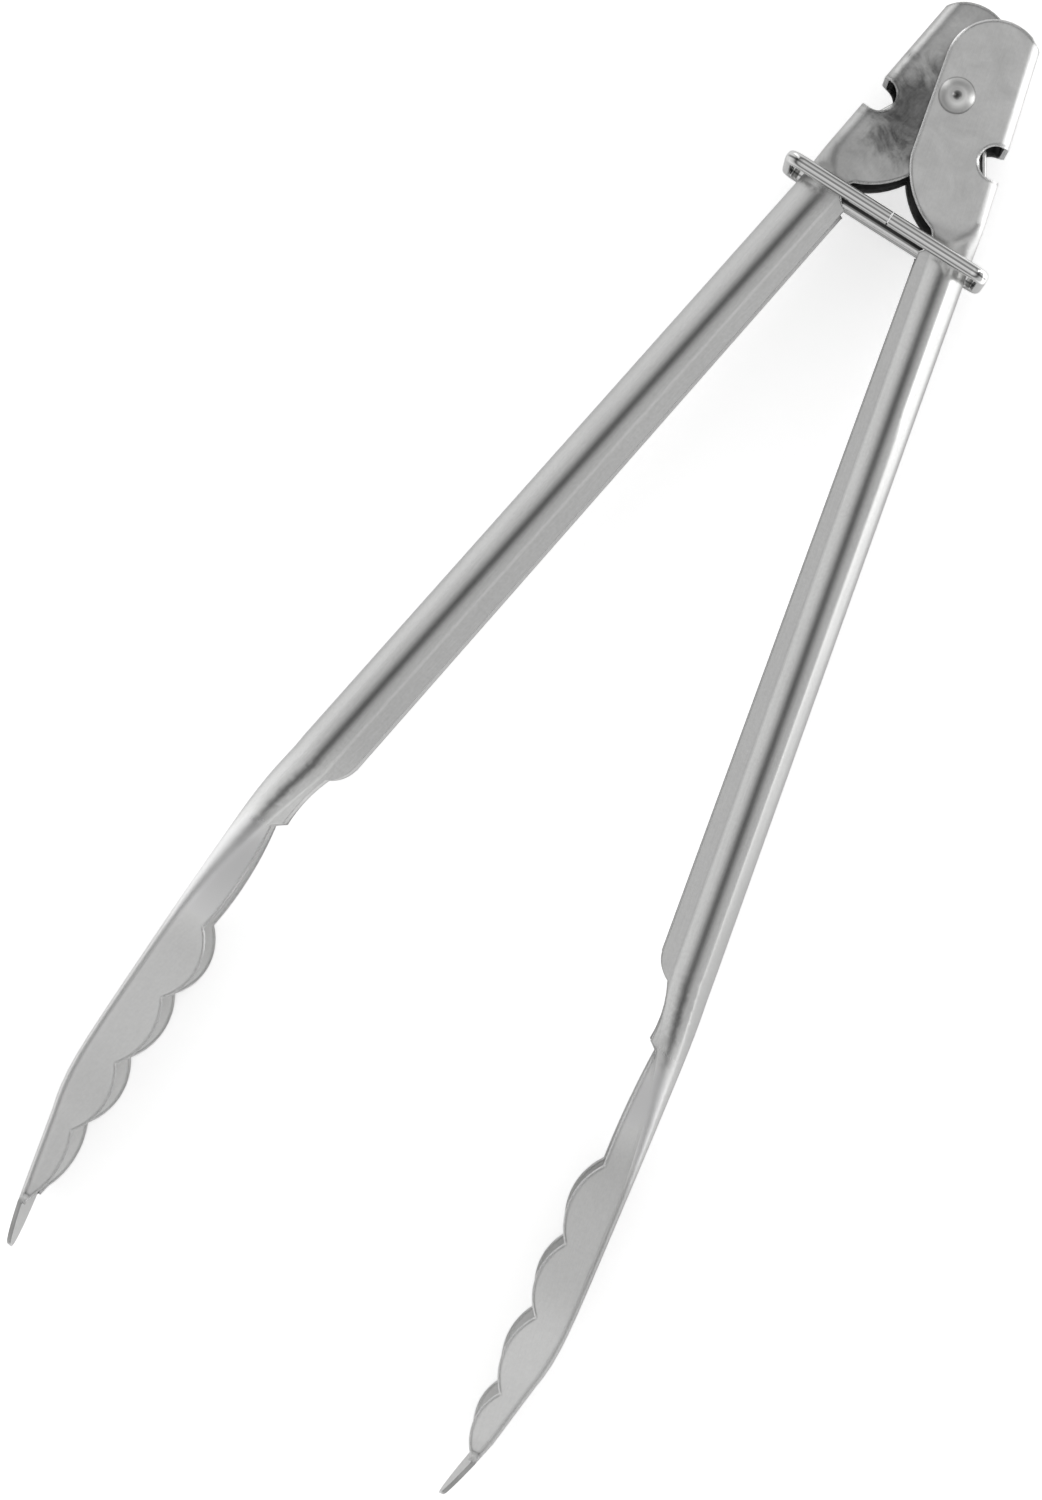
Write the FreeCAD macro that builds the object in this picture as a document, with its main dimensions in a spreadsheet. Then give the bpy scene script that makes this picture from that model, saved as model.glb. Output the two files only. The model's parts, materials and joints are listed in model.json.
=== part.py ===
"""Spring loaded kitchen tongs: two pressed steel arms, a rivet, a torsion spring and a lock ring.

The pivot axis is upright (+Z), so the tongs lie on their side with the jaws pointing along -Y.
Each arm is drawn in its own frame: the pivot is the origin, the jaw end lies along -Y and +X
points out of the arm's rounded back. Distances along an arm are called stations.
Lengths are in millimetres and angles in degrees.
"""
import FreeCAD, Part
import Sketcher
import math
import os
import re

V = FreeCAD.Vector
XY = "XY_Plane"
XZ = "XZ_Plane"

# Every size of the tongs, by name.
SIZES = [
    # where the pivot stands in the row frame
    ("pivot_x", 0.32), ("pivot_y", 133.22), ("pivot_z", 18.41),
    # how far each arm stands open from the middle line
    ("outer_open", 10.2), ("inner_open", 11.8),
    # pressed sheet, and how far its back stands from the pivot
    ("sheet_gauge", 0.95),
    ("outer_top_back", 12.0), ("outer_foot_back", 13.7), ("outer_shaft_back", 13.7),
    ("inner_top_back", 13.35), ("inner_foot_back", 12.65), ("inner_shaft_back", 12.5),
    # hinge cheeks
    ("outer_cheek_half", 10.4), ("inner_cheek_half", 9.1), ("cheek_bend", 2.6),
    ("cheek_crease", 13.0), ("cheek_skirt", 5.5), ("cheek_flare", 0.02),
    ("dome_radius", 9.5), ("dome_station", -7.4), ("dome_out", 4.95),
    ("bulge_start", 13.6), ("bulge_end", 25.6), ("bulge_out", 3.8), ("bulge_radius", 17.0),
    ("waist_radius", 3.3),
    # notch that hooks the spring's leg
    ("outer_notch_station", 9.75), ("inner_notch_station", 9.4), ("notch_half", 3.3),
    ("outer_notch_deep", 5.6), ("inner_notch_deep", 4.5),
    # rivet
    ("rivet_middle", 0.0), ("rivet_radius", 2.5), ("rivet_gap", 0.05),
    ("head_radius", 3.6), ("head_tall", 1.35), ("head_rim", 0.35), ("head_dome", 6.0),
    ("seat_gap", 0.02), ("dimple_radius", 0.9), ("dimple_deep", 0.8), ("dimple_drop", 0.12),
    # half round shaft with flared wings
    ("cheek_start", -20.0), ("cheek_end", 22.0), ("shaft_start", 31.0), ("shaft_end", 176.0),
    ("shaft_half", 8.3), ("shaft_bend", 8.0), ("shaft_crease", 8.5), ("cut_spare", 4.0),
    ("wing_top", 1.4), ("wing_end", 2.4), ("flare_top", 0.1), ("flare_end", 0.25),
    # how much deeper than the plain pattern each arm's wings and jaw edge are
    ("outer_wing_more", 0.6), ("inner_wing_more", 1.05),
    ("outer_edge_more", 0.0), ("inner_edge_more", 0.7),
    # bends of the back at the neck, the jaw and the lip
    ("neck_bend_start", 182.0), ("neck_bend_long", 14.0),
    ("jaw_bend_start", 246.5), ("jaw_bend_long", 12.0),
    ("outer_neck_slope", 0.062), ("inner_neck_slope", 0.1425),
    ("outer_jaw_slope", 0.227), ("inner_jaw_slope", 0.245),
    ("lip_bend_start", 268.0), ("lip_bend_long", 9.0),
    ("outer_lip_slope", 0.12), ("inner_lip_slope", 0.0),
    # free edge of the neck, as stations and depths from the back
    ("wing_stop", 174.5), ("wing_stop_deep", 10.85), ("wing_foot", 179.5), ("wing_foot_deep", 8.6),
    ("step_station", 191.4), ("step_deep", 7.8),
    ("step_foot", 193.0), ("step_low", 6.1), ("wing_round", 6.5),
    ("outer_neck_round", 23.0), ("inner_neck_round", 30.0), ("far_inside", 50.0),
    # shallow first scallop along the neck, then the lip at the jaw's end
    ("outer_neck_bulge", 0.35), ("inner_neck_bulge", 0.9),
    ("lip_deep", 1.35), ("lip_start", 279.0), ("tip_station", 288.0), ("tip_round", 19.5),
    # torsion spring
    ("wire_radius", 0.7), ("coil_radius", 5.2), ("coil_pitch", 1.45), ("coil_whole_turns", 7),
    ("leg_long", 17.4), ("leg_turn", 109.8),
    # lock ring
    ("ring_station", 27.1), ("ring_tilt", 2.6), ("ring_long", 46.0), ("ring_tall", 25.0),
    ("ring_strip", 2.9), ("ring_gauge", 1.8), ("ring_corner", 3.6),
    ("ring_crown_half", 0.6), ("ring_crown_radius", 2.4), ("ring_crown_rise", 0.2),
    ("ring_shoulder", 0.85), ("ring_inner_round", 0.65),
    ("ring_seam", 0.2), ("ring_seam_off", 0.6),
]

# Stations of the smooth neck and jaw: name, station, half width, bend radius, crease, skirt, flare.
JAW_STATIONS = [
    ("neck_top", 184.0, 8.3, 7.4, 7.8, 3.4, 0.25),
    ("neck_low", 192.0, 9.0, 5.8, 6.3, 4.4, 0.3),
    ("throat_top", 200.0, 11.0, 4.0, 4.6, 6.0, 0.4),
    ("throat_low", 208.0, 13.4, 2.6, 3.2, 7.8, 0.5),
    ("jaw_top", 216.0, 15.3, 1.8, 2.4, 9.0, 0.6),
    ("jaw_wide", 232.0, 17.2, 1.3, 1.9, 9.8, 0.6),
    ("jaw_knee", 243.0, 17.8, 1.2, 1.8, 9.8, 0.6),
    ("jaw_mid", 252.0, 17.9, 1.2, 1.8, 9.6, 0.6),
    ("jaw_low", 261.0, 17.9, 1.2, 1.8, 9.2, 0.6),
    ("jaw_lip", 274.0, 17.9, 1.2, 1.8, 7.0, 0.5),
    ("jaw_tip", 291.0, 17.0, 1.2, 1.8, 5.0, 0.5),
]

# Cusps of each scalloped edge: station, depth from the back, bulge of the scallop after it.
CUSPS = {
    "outer": [(216.7, 6.8, 2.8), (233.2, 7.8, 2.7), (248.3, 7.45, 2.7), (264.3, 5.3, 2.1),
              (277.0, 2.5, 0.0)],
    "inner": [(216.0, 7.15, 2.9), (231.25, 8.15, 2.3), (246.5, 7.8, 2.4), (261.75, 5.6, 1.5),
              (276.2, 2.5, 0.0)],
}

ARMS = ("outer", "inner")

# Share of the shaft's shape that each of the two blend sections already has.
BLEND_SHARES = [("low", 0.26), ("high", 0.74)]


def new_sheet(doc):
    """Spreadsheet with every size, and the worked-out sizes under them."""
    sheet = doc.addObject("Spreadsheet::Sheet", "sizes")
    rows = [(name, str(value)) for name, value in SIZES]
    for name, station, half, bend, crease, skirt, flare in JAW_STATIONS:
        keys = ("station", "half", "bend", "crease", "skirt", "flare")
        values = (station, half, bend, crease, skirt, flare)
        rows += [(name + "_" + key, str(value)) for key, value in zip(keys, values)]
    rows += worked_out()
    for side in ARMS:
        rows += wing_rows(side)
        rows += blend_rows(side)
        rows += cusp_rows(side)
        rows += back_rows(side)
    for number, (name, text) in enumerate(rows, start=1):
        sheet.set("A%d" % number, name)
        sheet.set("B%d" % number, text)
        sheet.setAlias("B%d" % number, name)
    doc.recompute()
    return sheet


def worked_out():
    """Sizes that follow from the others."""
    return [
        ("blend_low_station", "=cheek_end + 3"),
        ("blend_high_station", "=cheek_end + 6"),
    ]


def wing_rows(side):
    """Each arm's own wing sizes."""
    return [("%s_wing_%s" % (side, place), "=wing_%s + %s_wing_more" % (place, side))
            for place in ("top", "end")]


def blend_rows(side):
    """Sections between the flat cheeks and the half round shaft, eased in and out."""
    pairs = [("back", side + "_foot_back", side + "_shaft_back"),
             ("half", side + "_cheek_half", "shaft_half"), ("bend", "cheek_bend", "shaft_bend"),
             ("crease", "cheek_crease", "shaft_crease"),
             ("skirt", "cheek_skirt", side + "_wing_top"),
             ("flare", "cheek_flare", "flare_top")]
    rows = []
    for place, share in BLEND_SHARES:
        for key, first, last in pairs:
            text = "=%s * %s + %s * %s" % (first, 1 - share, last, share)
            rows.append(("%s_blend_%s_%s" % (side, place, key), text))
    return rows


def arc_radius(start, end, bulge):
    """Spreadsheet text for the radius of an arc that bulges between two stations."""
    return "=(((%s - %s) / 2) ^ 2 + %s ^ 2) / (2 * %s)" % (end, start, bulge, bulge)


def cusp_rows(side):
    """Each arm's cusps, and the radii of the scallops between them."""
    rows = []
    for number, values in enumerate(CUSPS[side]):
        name = "%s_cusp_%d_" % (side, number)
        rows += [(name + key, str(value)) for key, value in zip(("at", "deep", "bulge"), values)]
    first = side + "_cusp_0_at"
    rows.append((side + "_neck_scallop", arc_radius("step_foot", first, side + "_neck_bulge")))
    for number in range(len(CUSPS[side]) - 1):
        name = "%s_cusp_%d_" % (side, number)
        after = "%s_cusp_%d_at" % (side, number + 1)
        rows.append(("%s_scallop_%d" % (side, number),
                     arc_radius(name + "at", after, name + "bulge")))
    return rows


def back_rows(side):
    """Where the back stands at each station that lies past the first bend."""
    places = [name + "_station" for name, *_ in JAW_STATIONS]
    places += ["wing_stop", "wing_foot", "step_station", "step_foot", "lip_start"]
    rows = [("%s_back_%s" % (side, place), back_formula(side, place)) for place in places]
    for number in range(len(CUSPS[side])):
        place = "%s_cusp_%d_at" % (side, number)
        rows.append(("%s_back_cusp_%d" % (side, number), back_formula(side, place)))
    return rows


def back_formula(side, place):
    """Spreadsheet text for the back's distance from the pivot line, after three gradual bends."""
    text = "=%s_shaft_back" % side
    for bend in ("neck", "jaw", "lip"):
        start = bend + "_bend_start"
        long = bend + "_bend_long"
        ramp = "min(max(%s - %s; 0); %s)" % (place, start, long)
        rest = "max(%s - %s - %s; 0)" % (place, start, long)
        text += " - %s_%s_slope * (%s ^ 2 / (2 * %s) + %s)" % (side, bend, ramp, long, rest)
    return text


def new_body(doc, label):
    body = doc.addObject("PartDesign::Body", label)
    body.Label = label
    return body


def plane_of(body, role):
    for item in body.Origin.OriginFeatures:
        if item.Role == role:
            return item
    raise ValueError("no plane " + role)


def linked(formula):
    """Formula over size names, written as the document's own expression."""
    return re.sub(r"(?<![\w.])([a-z][a-z_0-9]*_[a-z_0-9]*)", r"sizes.\1", formula)


def value_of(thing, formula):
    """Number a formula gives now, used as the starting size of a dimension."""
    return float(thing.evalExpression(linked(formula)))


def new_sketch(body, name, role, offset=None):
    """Sketch on one of the body's own planes, moved along its normal by a formula."""
    sketch = body.newObject("Sketcher::SketchObject", name)
    sketch.AttachmentSupport = [(plane_of(body, role), "")]
    sketch.MapMode = "FlatFace"
    if offset:
        sketch.setExpression("AttachmentOffset.Base.z", linked(offset))
    return sketch


def rule(sketch, kind, *args):
    """Add one geometric rule, such as Vertical or Coincident."""
    return sketch.addConstraint(Sketcher.Constraint(kind, *args))


def bind(sketch, kind, args, formula):
    """Add one dimension and tie it to a formula over the size names."""
    number = value_of(sketch, formula)
    index = sketch.addConstraint(Sketcher.Constraint(kind, *args, number))
    sketch.setExpression("Constraints[%d]" % index, linked(formula))


def line(sketch, start, end):
    return sketch.addGeometry(Part.LineSegment(V(*start), V(*end)), False)


def arc(sketch, centre, radius, start, end):
    """Arc drawn anticlockwise between two angles in degrees."""
    circle = Part.Circle(V(centre[0], centre[1], 0), V(0, 0, 1), radius)
    curve = Part.ArcOfCircle(circle, math.radians(start), math.radians(end))
    return sketch.addGeometry(curve, False)


def closed_outline(sketch, corners, curves):
    """Closed outline through corners given as pairs of formulas.

    curves maps a corner's number to (radius formula, side): the edge that leaves that corner is
    an arc whose centre lies to the left or to the right of the way it is drawn.
    """
    points = [(value_of(sketch, a), value_of(sketch, b), 0) for a, b in corners]
    ends = []
    for number, start in enumerate(points):
        end = points[(number + 1) % len(points)]
        if number in curves:
            ends.append(arc_edge(sketch, start, end, *curves[number]))
        else:
            ends.append((line(sketch, start, end), 1, 2))
    for number, (formula_x, formula_y) in enumerate(corners):
        edge, start_pos, _ = ends[number]
        before, _, end_pos = ends[number - 1]
        rule(sketch, "Coincident", before, end_pos, edge, start_pos)
        bind(sketch, "DistanceX", (-1, 1, edge, start_pos), formula_x)
        bind(sketch, "DistanceY", (-1, 1, edge, start_pos), formula_y)
    for number, (formula, _) in curves.items():
        bind(sketch, "Radius", (ends[number][0],), formula)


def arc_edge(sketch, start, end, formula, side):
    """Arc between two points; returns its number and which of its ends is the start."""
    radius = value_of(sketch, formula)
    first = V(*start)
    last = V(*end)
    chord = last - first
    rise = math.sqrt(radius ** 2 - (chord.Length / 2) ** 2)
    normal = V(-chord.y, chord.x, 0).normalize()
    if side == "right":
        normal = normal * -1
        first, last = last, first
    centre = (V(*start) + V(*end)) * 0.5 + normal * rise
    angles = [math.degrees(math.atan2(p.y - centre.y, p.x - centre.x)) for p in (first, last)]
    if angles[1] < angles[0]:
        angles[1] += 360
    index = arc(sketch, centre, radius, *angles)
    return (index, 1, 2) if side == "left" else (index, 2, 1)


def channel_section(body, name, station, back, keys):
    """Half of the pressed channel cut across at one station, from the middle plane outwards.

    keys holds the formulas for half width, bend radius, crease depth, skirt depth and flare.
    """
    sketch = new_sketch(body, name, XZ, station)
    half, bend, crease, skirt, flare = keys
    b, w, r, c, s, f, g = [value_of(sketch, item) for item in
                           (back, half, bend, crease, skirt, flare, "sheet_gauge")]
    tilt = math.atan2(f, s)
    skirt_end = (b - c - s, w + f, 0)
    skirt_in = (skirt_end[0] - g * math.sin(tilt), skirt_end[1] - g * math.cos(tilt), 0)
    crease_in = (b - c - g * math.tan(tilt / 2), w - g, 0)
    line(sketch, (b, 0, 0), (b, w - r, 0))
    arc(sketch, (b - r, w - r), r, 0, 90)
    line(sketch, (b - r, w, 0), (b - c, w, 0))
    line(sketch, (b - c, w, 0), skirt_end)
    line(sketch, skirt_end, skirt_in)
    line(sketch, skirt_in, crease_in)
    line(sketch, crease_in, (b - r, w - g, 0))
    arc(sketch, (b - r, w - r), r - g, 0, 90)
    line(sketch, (b - g, w - r, 0), (b - g, 0, 0))
    line(sketch, (b - g, 0, 0), (b, 0, 0))
    for first, last in (((2, 2), (3, 1)), ((3, 2), (4, 1)), ((4, 2), (5, 1)), ((5, 2), (6, 1)),
                        ((8, 2), (9, 1)), ((9, 2), (0, 1)), ((1, 3), (7, 3))):
        rule(sketch, "Coincident", *first, *last)
    for first, last in (((0, 2), (1, 1)), ((1, 2), (2, 1)), ((6, 2), (7, 2)), ((7, 1), (8, 1))):
        rule(sketch, "Tangent", *first, *last)
    for edge in (0, 8):
        rule(sketch, "Vertical", edge)
    for edge in (2, 6, 9):
        rule(sketch, "Horizontal", edge)
    rule(sketch, "PointOnObject", 0, 1, -1)
    rule(sketch, "Perpendicular", 3, 4)
    rule(sketch, "Parallel", 3, 5)
    bind(sketch, "DistanceX", (-1, 1, 0, 1), back)
    bind(sketch, "DistanceY", (-1, 1, 1, 2), half)
    bind(sketch, "Radius", (1,), bend)
    bind(sketch, "DistanceX", (9, 1, 9, 2), "sheet_gauge")
    bind(sketch, "DistanceX", (2, 2, 0, 1), crease)
    bind(sketch, "DistanceX", (3, 2, 3, 1), skirt)
    bind(sketch, "DistanceY", (3, 1, 3, 2), flare)
    bind(sketch, "Distance", (4, 1, 4, 2), "sheet_gauge")
    return sketch


def loft(body, name, sections, ruled):
    """Solid through a row of sections, in straight or smooth spans."""
    feature = body.newObject("PartDesign::AdditiveLoft", name)
    feature.Profile = sections[0]
    feature.Sections = sections[1:]
    feature.Ruled = ruled
    feature.Refine = True
    return feature


def through_cut(body, name, sketch):
    """Pocket right through the body, both ways from the sketch."""
    feature = body.newObject("PartDesign::Pocket", name)
    feature.Profile = sketch
    feature.Type = "ThroughAll"
    feature.Midplane = True
    feature.Refine = True
    return feature


def hinge_sections(body, side):
    keys = (side + "_cheek_half", "cheek_bend", "cheek_crease", "cheek_skirt", "cheek_flare")
    top = channel_section(body, side + "_cheek_top", "cheek_start", side + "_top_back", keys)
    end = channel_section(body, side + "_cheek_foot", "cheek_end", side + "_foot_back", keys)
    return top, end


def blend_sections(body, side):
    """Two sections that ease the flat cheeks into the half round shaft."""
    sections = []
    for place, _ in BLEND_SHARES:
        keys = ["%s_blend_%s_%s" % (side, place, key)
                for key in ("half", "bend", "crease", "skirt", "flare")]
        station = "blend_%s_station" % place
        name = "%s_blend_%s" % (side, place)
        back = "%s_blend_%s_back" % (side, place)
        sections.append(channel_section(body, name, station, back, keys))
    return sections


def shaft_sections(body, side):
    fixed = ("shaft_half", "shaft_bend", "shaft_crease")
    back = side + "_shaft_back"
    top = channel_section(body, side + "_shaft_top", "shaft_start", back,
                          fixed + (side + "_wing_top", "flare_top"))
    end = channel_section(body, side + "_shaft_foot", "shaft_end", back,
                          fixed + (side + "_wing_end", "flare_end"))
    return top, end


def jaw_sections(body, side):
    sections = []
    for name, *_ in JAW_STATIONS:
        keys = [name + "_" + key for key in ("half", "bend", "crease", "skirt", "flare")]
        back = "%s_back_%s_station" % (side, name)
        sections.append(channel_section(body, side + "_" + name, name + "_station", back, keys))
    return sections


def cheek_outline(body, side):
    """Everything outside the domed, bulged edge of the two hinge cheeks."""
    sketch = new_sketch(body, side + "_cheek_outline", XY)
    free_edge = "dome_out - dome_radius"
    corners = [
        ("%s_shaft_back - shaft_crease - %s_wing_top" % (side, side), "-shaft_start + 0.4"),
        (free_edge + " - cut_spare", "-shaft_start + 0.4"),
        (free_edge + " - cut_spare", "dome_radius - cheek_start"),
        ("dome_out + dome_radius + cut_spare", "dome_radius - cheek_start"),
        ("dome_out + dome_radius + cut_spare", "-dome_station"),
        ("dome_out + dome_radius", "-dome_station"),
        (free_edge, "-dome_station"),
        (free_edge, "-bulge_start"),
        ("bulge_out", "-bulge_end"),
    ]
    curves = {5: ("dome_radius + 0.0001", "left"), 7: ("bulge_radius", "left"),
              8: ("waist_radius", "right")}
    closed_outline(sketch, corners, curves)
    return sketch


def jaw_outline(body, side):
    """Everything beyond the free edge of the neck, the scalloped jaw and the tip."""
    sketch = new_sketch(body, side + "_jaw_outline", XY)
    edge = [("wing_stop", "wing_stop_deep", "wing"), ("wing_foot", "wing_foot_deep", "edge"),
            ("step_station", "step_deep", "edge"), ("step_foot", "step_low", "edge")]
    corners = [("%s_back_%s - %s - %s_%s_more" % (side, place, deep, side, more), "-" + place)
               for place, deep, more in edge]
    for number in range(len(CUSPS[side])):
        cusp = "%s_cusp_%d" % (side, number)
        corners.append(("%s_back_cusp_%d - %s_deep" % (side, number, cusp), "-%s_at" % cusp))
    corners.append(("%s_back_lip_start - lip_deep" % side, "-lip_start"))
    corners.append(("%s_back_jaw_tip_station - lip_deep" % side, "-jaw_tip_station"))
    corners.append(("-far_inside", "-jaw_tip_station"))
    corners.append(("-far_inside", "-wing_stop"))
    curves = {0: ("wing_round", "left"), 1: (side + "_neck_round", "right"),
              3: (side + "_neck_scallop", "left")}
    for number in range(len(CUSPS[side]) - 1):
        curves[4 + number] = ("%s_scallop_%d" % (side, number), "left")
    closed_outline(sketch, corners, curves)
    return sketch


def tip_outline(body, side):
    """Everything beyond the rounded front of the jaw, seen square on to its back."""
    sketch = new_sketch(body, side + "_tip_outline", "YZ_Plane")
    centre = "-tip_station + tip_round"
    far = "-jaw_tip_station - 5"
    corners = [(centre, "tip_round"), (centre, "tip_round + 8"), (far, "tip_round + 8"),
               (far, "-tip_round - 8"), (centre, "-tip_round - 8"), (centre, "-tip_round")]
    closed_outline(sketch, corners, {5: ("tip_round + 0.0001", "right")})
    return sketch


def notch_outline(body, side):
    """Round ended slot cut in from the back."""
    sketch = new_sketch(body, side + "_notch_outline", XY)
    station = side + "_notch_station"
    back = side + "_foot_back"
    inner = "%s - %s_notch_deep + notch_half" % (back, side)
    corners = [(back + " + 3", "-%s - notch_half" % station),
               (back + " + 3", "-%s + notch_half" % station),
               (inner, "-%s + notch_half" % station),
               (inner, "-%s - notch_half" % station)]
    closed_outline(sketch, corners, {2: ("notch_half + 0.0001", "left")})
    return sketch


def rivet_hole(body, side):
    sketch = new_sketch(body, side + "_rivet_hole", XY)
    radius = value_of(sketch, "rivet_radius + rivet_gap")
    sketch.addGeometry(Part.Circle(V(0, 0, 0), V(0, 0, 1), radius), False)
    rule(sketch, "Coincident", 0, 3, -1, 1)
    bind(sketch, "Radius", (0,), "rivet_radius + rivet_gap")
    return sketch


def build_arm(doc, side):
    """One arm, pressed from a single piece of sheet."""
    body = new_body(doc, side + "_arm")
    cheek_top, cheek_foot = hinge_sections(body, side)
    blend_low, blend_high = blend_sections(body, side)
    shaft_top, shaft_foot = shaft_sections(body, side)
    jaw = jaw_sections(body, side)
    doc.recompute()
    loft(body, side + "_cheeks", [cheek_top, cheek_foot], True)
    loft(body, side + "_shoulder", [cheek_foot, blend_low, blend_high, shaft_top], False)
    loft(body, side + "_shaft", [shaft_top, shaft_foot], True)
    loft(body, side + "_neck_and_jaw", [shaft_foot] + jaw[:-2], False)
    loft(body, side + "_jaw_end", jaw[-3:], True)
    doc.recompute()
    mirror = body.newObject("PartDesign::Mirrored", side + "_other_half")
    mirror.TransformMode = "Whole shape"
    mirror.MirrorPlane = (plane_of(body, XY), [""])
    mirror.Refine = True
    body.Tip = mirror
    doc.recompute()
    for name, draw in (("cheek_cut", cheek_outline), ("edge_cut", jaw_outline),
                       ("tip_cut", tip_outline), ("notch_cut", notch_outline),
                       ("rivet_cut", rivet_hole)):
        sketch = draw(body, side)
        doc.recompute()
        body.Tip = through_cut(body, side + "_" + name, sketch)
        doc.recompute()
    return body


def build_rivet(doc):
    """Turned rivet: a plain shank, a domed head at each end and a dimple where it was closed."""
    body = new_body(doc, "pivot_rivet")
    sketch = new_sketch(body, "rivet_profile", XZ)
    seat = "outer_cheek_half + seat_gap"
    crown = "outer_cheek_half + head_tall"
    corners = [
        ("rivet_middle", crown + " - dimple_deep"),
        ("dimple_radius", crown + " - dimple_drop"),
        ("head_radius", seat + " + head_rim"),
        ("head_radius", seat),
        ("rivet_radius", seat),
        ("rivet_radius", "-outer_cheek_half - seat_gap"),
        ("head_radius", "-outer_cheek_half - seat_gap"),
        ("head_radius", "-outer_cheek_half - seat_gap - head_rim"),
        ("rivet_middle", "-outer_cheek_half - head_tall"),
    ]
    curves = {1: ("head_dome", "right"), 7: ("head_dome", "right")}
    closed_outline(sketch, corners, curves)
    doc.recompute()
    turn = body.newObject("PartDesign::Revolution", "rivet_turned")
    turn.Profile = sketch
    turn.ReferenceAxis = (sketch, ["V_Axis"])
    turn.Angle = 360
    body.Tip = turn
    doc.recompute()
    return body


def build_spring(doc, sheet):
    """Torsion spring: a close coil round the rivet with a straight leg down each arm.

    Coil and legs are one sweep of round wire, so its path is built from a helix and two tangents.
    """
    start = sheet.outer_open - 90 + sheet.leg_turn
    finish = 270 - sheet.inner_open - sheet.leg_turn
    turns = sheet.coil_whole_turns + (finish - start) / 360
    tall = sheet.coil_pitch * turns
    coil = Part.makeHelix(sheet.coil_pitch, tall, sheet.coil_radius).Edges[0]
    coil.rotate(V(), V(0, 0, 1), start)
    coil.translate(V(0, 0, -tall / 2))
    coil = coil.mirror(V(), V(0, 0, 1))
    ends = [coil.valueAt(coil.FirstParameter), coil.valueAt(coil.LastParameter)]
    ways = [coil.tangentAt(coil.FirstParameter) * -1, coil.tangentAt(coil.LastParameter)]
    tips = [end + way * sheet.leg_long for end, way in zip(ends, ways)]
    path = Part.Wire([Part.makeLine(tips[0], ends[0]), coil, Part.makeLine(ends[1], tips[1])])
    wire = Part.Wire([Part.Edge(Part.Circle(tips[0], ways[0], sheet.wire_radius))])
    solid = path.makePipeShell([wire], True, False)
    feature = doc.addObject("Part::Feature", "torsion_spring")
    feature.Label = "torsion_spring"
    feature.Shape = solid
    return feature


def rounded_frame(long, tall, corner):
    """Rounded rectangle about the origin, from formulas for its length, height and corner."""
    half_x = "(%s) / 2" % long
    half_y = "(%s) / 2" % tall
    corners = []
    for sign_x, sign_y, swap in ((1, -1, 0), (1, 1, 1), (-1, 1, 0), (-1, -1, 1)):
        near = ("%d * (%s - (%s))" % (sign_x, half_x, corner), "%d * %s" % (sign_y, half_y))
        far = ("%d * %s" % (sign_x, half_x), "%d * (%s - (%s))" % (sign_y, half_y, corner))
        corners += [far, near] if swap else [near, far]
    curves = {number: ("(%s) * 1.00001" % corner, "left") for number in (0, 2, 4, 6)}
    return corners, curves


def ring_section(body):
    """The ring's strip cut across: flat inside, crowned outside, with rounded edges."""
    sketch = new_sketch(body, "ring_strip_section", "YZ_Plane", "ring_seam_off + ring_seam / 2")
    edge = "ring_strip / 2"
    inside = "ring_tall / 2 - ring_gauge"
    crown = "ring_tall / 2 - ring_crown_rise"
    corners = [
        ("-%s + ring_inner_round" % edge, inside),
        (edge + " - ring_inner_round", inside),
        (edge, inside + " + ring_inner_round"),
        (edge, crown + " - ring_shoulder"),
        ("ring_crown_half", crown),
        ("-ring_crown_half", crown),
        ("-" + edge, crown + " - ring_shoulder"),
        ("-" + edge, inside + " + ring_inner_round"),
    ]
    curves = {1: ("ring_inner_round * 1.0001", "left"), 3: ("ring_shoulder * 1.2", "left"),
              4: ("ring_crown_radius", "left"), 5: ("ring_shoulder * 1.2", "left"),
              7: ("ring_inner_round * 1.0001", "left")}
    closed_outline(sketch, corners, curves)
    return sketch


def build_ring(doc):
    """Lock ring: a crowned strip bent to a rounded rectangle, its two ends meeting in a seam."""
    body = new_body(doc, "lock_ring")
    outline = new_sketch(body, "ring_outline", XZ)
    corners, curves = rounded_frame("ring_long", "ring_tall", "ring_corner")
    seam = [("ring_seam_off + ring_seam / 2", "ring_tall / 2"),
            ("ring_seam_off - ring_seam / 2", "ring_tall / 2")]
    corners[4:4] = seam
    curves = {number + 2 * (number > 3): curve for number, curve in curves.items()}
    closed_outline(outline, corners, curves)
    outline.setConstruction(4, True)
    section = ring_section(body)
    doc.recompute()
    strip = body.newObject("PartDesign::AdditivePipe", "ring_bent_strip")
    strip.Profile = section
    strip.Spine = (outline, [""])
    strip.Refine = True
    body.Tip = strip
    doc.recompute()
    return body


def place(thing, sheet, turn, flip=False, shift=0.0):
    """Stand one piece in the row frame: turned about the pivot, then moved to it."""
    spin = FreeCAD.Rotation(V(0, 0, 1), turn)
    if flip:
        spin = spin.multiply(FreeCAD.Rotation(V(0, 1, 0), 180))
    spot = V(sheet.pivot_x, sheet.pivot_y + shift, sheet.pivot_z)
    thing.Placement = FreeCAD.Placement(spot, spin)


def check_and_write(doc, pieces):
    for item in doc.Objects:
        if "Invalid" in item.State or "Error" in item.State:
            raise RuntimeError("%s did not recompute" % item.Label)
    for piece in pieces:
        if piece.Shape.isNull() or not piece.Shape.isValid():
            raise RuntimeError("%s has no good shape" % piece.Label)
        piece.Shape.exportStep("parts/%s.step" % piece.Label)
        print(piece.Label, len(piece.Shape.Solids), round(piece.Shape.Volume, 1))


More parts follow.
